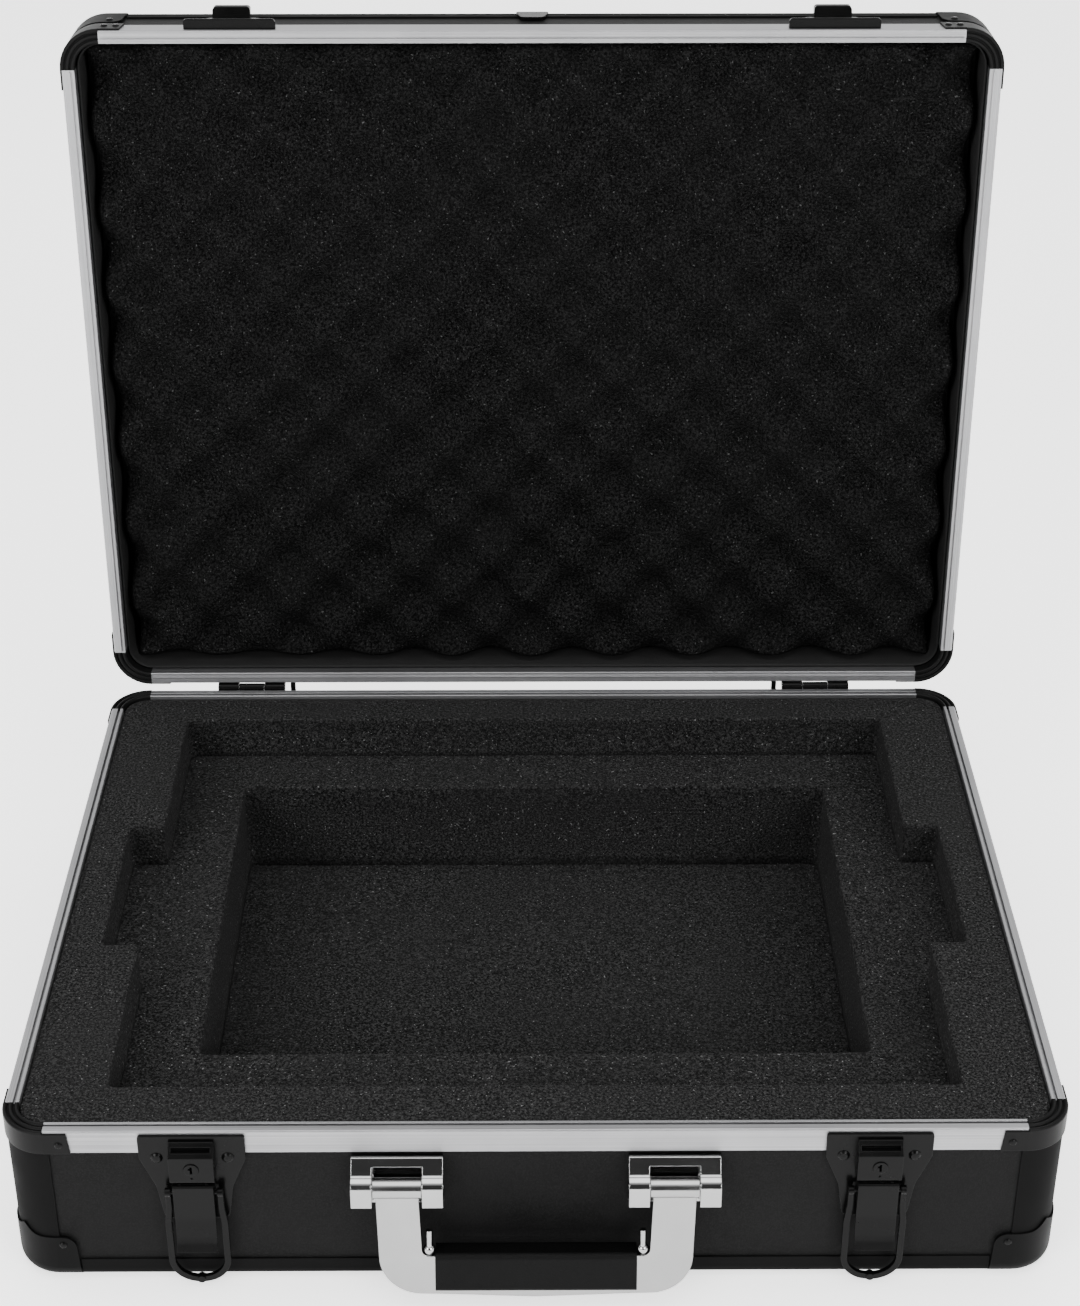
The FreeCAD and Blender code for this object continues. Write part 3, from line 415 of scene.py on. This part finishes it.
def foam_layer(name, outer_corners, inner_corners, low, high, stands_for):
    """One sheet of cut foam: rounded upper edges, slightly hollow cut walls, uneven top."""
    verts, faces = [], []
    edge = 1.5          # radius of the rounded upper edge
    wall_steps, edge_steps = 8, 5

    def wall(points, sign, hollow):
        """Rings from the bottom up the wall and over its rounded edge."""
        out = normals(points)
        profile = [(hollow * math.sin(math.pi * t), low + (high - edge - low) * t)
                   for t in (k / wall_steps for k in range(wall_steps))]
        profile += [(edge * (1 - math.cos(a)), high - edge * (1 - math.sin(a)))
                    for a in (math.pi / 2 * k / edge_steps for k in range(edge_steps + 1))]
        rings = []
        for reach, z in profile:
            start = len(verts)
            verts.extend((p.x + sign * n.x * reach, p.y + sign * n.y * reach, z)
                         for p, n in zip(points, out))
            rings.append(range(start, start + len(points)))
        for a, b in zip(rings, rings[1:]):
            faces.extend(skirt(a, b))
        return [Vector(verts[k][:2]) for k in rings[-1]], [Vector(verts[k][:2]) for k in rings[0]]

    top_outer, base_outer = wall(loop(outer_corners), -1, 0.0)
    top_inner, base_inner = wall(loop(inner_corners), 1, 0.9) if inner_corners else ([], [])
    for rim, opening, z, pitch in ((top_outer, top_inner, high, 7.0),
                                   (base_outer, base_inner, low, 60.0)):
        points, kept = cap(rim, opening, pitch)
        start = len(verts)
        verts.extend((p.x, p.y, z) for p in points)
        faces.extend(tuple(start + k for k in face) for face in kept)

    placed = []
    for x, y, z in verts:
        p = Vector((x, y, z))
        hem = min(EDGE_X - abs(x), EDGE_Y - abs(y))
        # Held at the case's walls and at the bottom, free from 12 mm in and 3 mm up.
        free = min(1.0, max(0.0, hem / 12.0)) * min(1.0, (z - low) / 3.0)
        slow = stirred(p, 0.55, 0.022) + stirred(p, 0.22, 0.11)
        slow.z = min(0.35, slow.z)
        placed.append(in_base(*(p + slow * free)))
    piece = drawn(name, placed, faces, "base_foam", "base", stands_for)


# ---------------------------------------------------------------- foam and lining

EDGE_X, EDGE_Y = HALF_W - 7.6, HALF_D - 7.6     # just inside the walls
SHEET = [(x * EDGE_X, y * EDGE_Y, 14.4) for x, y in ((1, 1), (-1, 1), (-1, -1), (1, -1))]
TRAY_RIGHT = [
    (214.2, -169.3, 4.0), (214.2, -53.1, 2.0), (234.2, -53.1, 3.0),
    (234.2, 57.6, 3.0), (214.2, 57.6, 2.0), (214.2, 173.4, 4.0),
]
TRAY = TRAY_RIGHT + [(-x, y, r) for x, y, r in reversed(TRAY_RIGHT)]
WELL = [(177.0, -112.5, 4.0), (177.0, 138.0, 4.0), (-177.0, 138.0, 4.0), (-177.0, -112.5, 4.0)]

foam_layer("foam_tray_cut", SHEET, TRAY, 69.0, 96.0, "foam_tray")
foam_layer("foam_well_cut", SHEET, WELL, 10.3, 68.9, "foam_well")
foam_layer("foam_pad_cut", SHEET, [], 7.0, 10.2, "foam_floor_pad")


BUMP_PITCH = 50.0


def dome(x, y):
    """Height of the convoluted foam, about 0 in the hollows to 1 on the peaks."""
    k = 2 * math.pi / BUMP_PITCH
    drift = stirred(Vector((x, y, 3.0)), 4.5, 0.011)
    wave = 0.5 + 0.5 * math.cos(k * (x + drift.x)) * math.cos(k * (y + drift.y))
    return wave ** 0.8 * (1.0 + 0.10 * noise.noise(Vector((x, y, 9.0)) * 0.03))


def lid_sheet():
    """Convoluted foam: domes and hollows, with edges that draw in between the domes."""
    half_x, half_y = 252.0, 194.5
    underside, hollow, peak = 7.0, 21.0, 36.6
    nx, ny = 212, 164
    near = 34.0         # the edges draw in over this distance

    def drawn_in(depth, height, at, half):
        """How far a point moves in from an edge: most in a hollow and on the edge itself."""
        return depth * (1 - height) * max(0.0, abs(at) * half - half + near) / near

    points = []
    for j in range(ny + 1):
        for i in range(nx + 1):
            u, v = i / nx * 2 - 1, j / ny * 2 - 1
            x, y = u * half_x, v * half_y
            draw_x = drawn_in(3.2, dome(math.copysign(half_x, u), y), u, half_x)
            draw_y = drawn_in(0.6 if v > 0 else 2.2, dome(x, math.copysign(half_y, v)), v, half_y)
            hem = min(half_x - abs(x), half_y - abs(y))
            rolled = 1.0 - 0.35 * max(0.0, 1.0 - hem / 4.0) ** 2
            z = hollow + (peak - hollow) * min(1.0, dome(x, y)) * rolled
            points.append((x - math.copysign(draw_x, u), y - math.copysign(draw_y, v), z))
    faces = []
    for j in range(ny):
        for i in range(nx):
            a = j * (nx + 1) + i
            faces.append((a, a + 1, a + nx + 2, a + nx + 1))
    rim = list(range(nx + 1))
    rim += [j * (nx + 1) + nx for j in range(1, ny + 1)]
    rim += [ny * (nx + 1) + i for i in range(nx - 1, -1, -1)]
    rim += [j * (nx + 1) for j in range(ny - 1, 0, -1)]
    last = rim
    for share in (0.33, 0.66, 1.0):
        start = len(points)
        for k in rim:
            x, y, z = points[k]
            points.append((x, y, z + (underside - z) * share))
        ring = list(range(start, start + len(rim)))
        faces += skirt(last, ring)
        last = ring
    faces.append(tuple(last))
    piece = drawn("lid_foam_domes", [in_lid(*p) for p in points], faces, "lid_foam", "lid", "lid_foam")


def lid_wall_lining():
    """Lining cloth glued round the inside of the lid's walls, with a turned upper hem."""
    x, y = HALF_W - 8.2, HALF_D - 8.2
    corners = [(x, y, 13.8), (-x, y, 13.8), (-x, -y, 13.8), (x, -y, 13.8)]
    points = loop(corners, 6.0)
    out = normals(points)
    # Distance out from the middle line, and height; up the inner face, over the hem, down the back.
    profile = [(-0.45, 7.2), (-0.45, 15.0), (-0.45, 24.0), (-0.45, 33.0), (-0.65, 37.0),
               (-0.60, 39.2), (0.0, 39.9), (0.45, 39.2), (0.45, 24.0), (0.45, 7.2)]
    verts, faces, rings = [], [], []
    for reach, z in profile:
        rings.append(range(len(verts), len(verts) + len(points)))
        for p, n in zip(points, out):
            loose = 0.18 * noise.noise(Vector((p.x, p.y, z)) * 0.05)
            verts.append(in_lid(p.x + n.x * (reach + loose), p.y + n.y * (reach + loose), z))
    for a, b in zip(rings, rings[1:] + rings[:1]):
        faces += skirt(a, b)
    piece = drawn("lid_lining_cloth", verts, faces, "lining", "lid", "lid_lining")


lid_sheet()
lid_wall_lining()


# ---------------------------------------------------------------- floor and light

def floor():
    """Pale floor whose far edges turn up, so no horizon shows in a low view."""
    mesh = bpy.data.meshes.new("floor")
    signs = ((-1, -1), (1, -1), (1, 1), (-1, 1))
    flat_edge, upper_edge = (60, 0), (62, 6)        # metres from the middle, and height
    points = [(half * x, half * y, height) for half, height in (flat_edge, upper_edge)
              for x, y in signs]
    mesh.from_pydata(points, [], [(0, 1, 2, 3)] + [(k, k + 4, (k + 1) % 4 + 4, (k + 1) % 4)
                                                  for k in range(4)])
    ground = bpy.data.objects.new("floor", mesh)
    bpy.context.scene.collection.objects.link(ground)
    s = Shader("pale_floor")
    s.set(Base_Color=s.blend(s.noise(6.0, 2.0), grey(0.88), grey(0.90)), Roughness=0.65,
          Emission_Color=grey(1.0), Emission_Strength=1.5)
    mesh.materials.append(s.material)


def softbox(name, where, aim, size, power):
    """A rectangular lamp of the given size in metres and power in watts."""
    lamp = bpy.data.lights.new(name, "AREA")
    lamp.shape = "RECTANGLE"
    lamp.size, lamp.size_y = size
    lamp.energy = power
    holder = bpy.data.objects.new(name, lamp)
    bpy.context.scene.collection.objects.link(holder)
    holder.location = where
    holder.rotation_euler = (Vector(aim) - Vector(where)).to_track_quat("-Z", "Y").to_euler()


floor()
softbox("overhead", (0.0, -0.35, 2.3), (0.0, 0.0, 0.1), (2.4, 1.6), 36.0)
softbox("left_front", (-1.7, -2.2, 1.5), (0.0, 0.0, 0.15), (1.4, 1.2), 85.0)
softbox("right_front", (1.7, -2.2, 1.5), (0.0, 0.0, 0.15), (1.4, 1.2), 85.0)

# The surroundings: white behind the case and overhead, dark towards -Y.
world = bpy.data.worlds.new("studio")
world.use_nodes = True
nodes, links = world.node_tree.nodes, world.node_tree.links
way = nodes.new("ShaderNodeSeparateXYZ")
links.new(nodes.new("ShaderNodeTexCoord").outputs["Generated"], way.inputs[0])
brightest = nodes.new("ShaderNodeMath")
brightest.operation = "MAXIMUM"
for index, (axis, low, high) in enumerate((("Y", -0.35, 0.10), ("Z", 0.70, 0.95))):
    fade = nodes.new("ShaderNodeMapRange")
    for word, value in (("From Min", low), ("From Max", high), ("To Min", 0.05), ("To Max", 1.0)):
        fade.inputs[word].default_value = value
    links.new(way.outputs[axis], fade.inputs["Value"])
    links.new(fade.outputs[0], brightest.inputs[index])
backing = nodes["Background"]
backing.inputs["Strength"].default_value = 1.9
links.new(brightest.outputs[0], backing.inputs["Color"])
bpy.context.scene.world = world
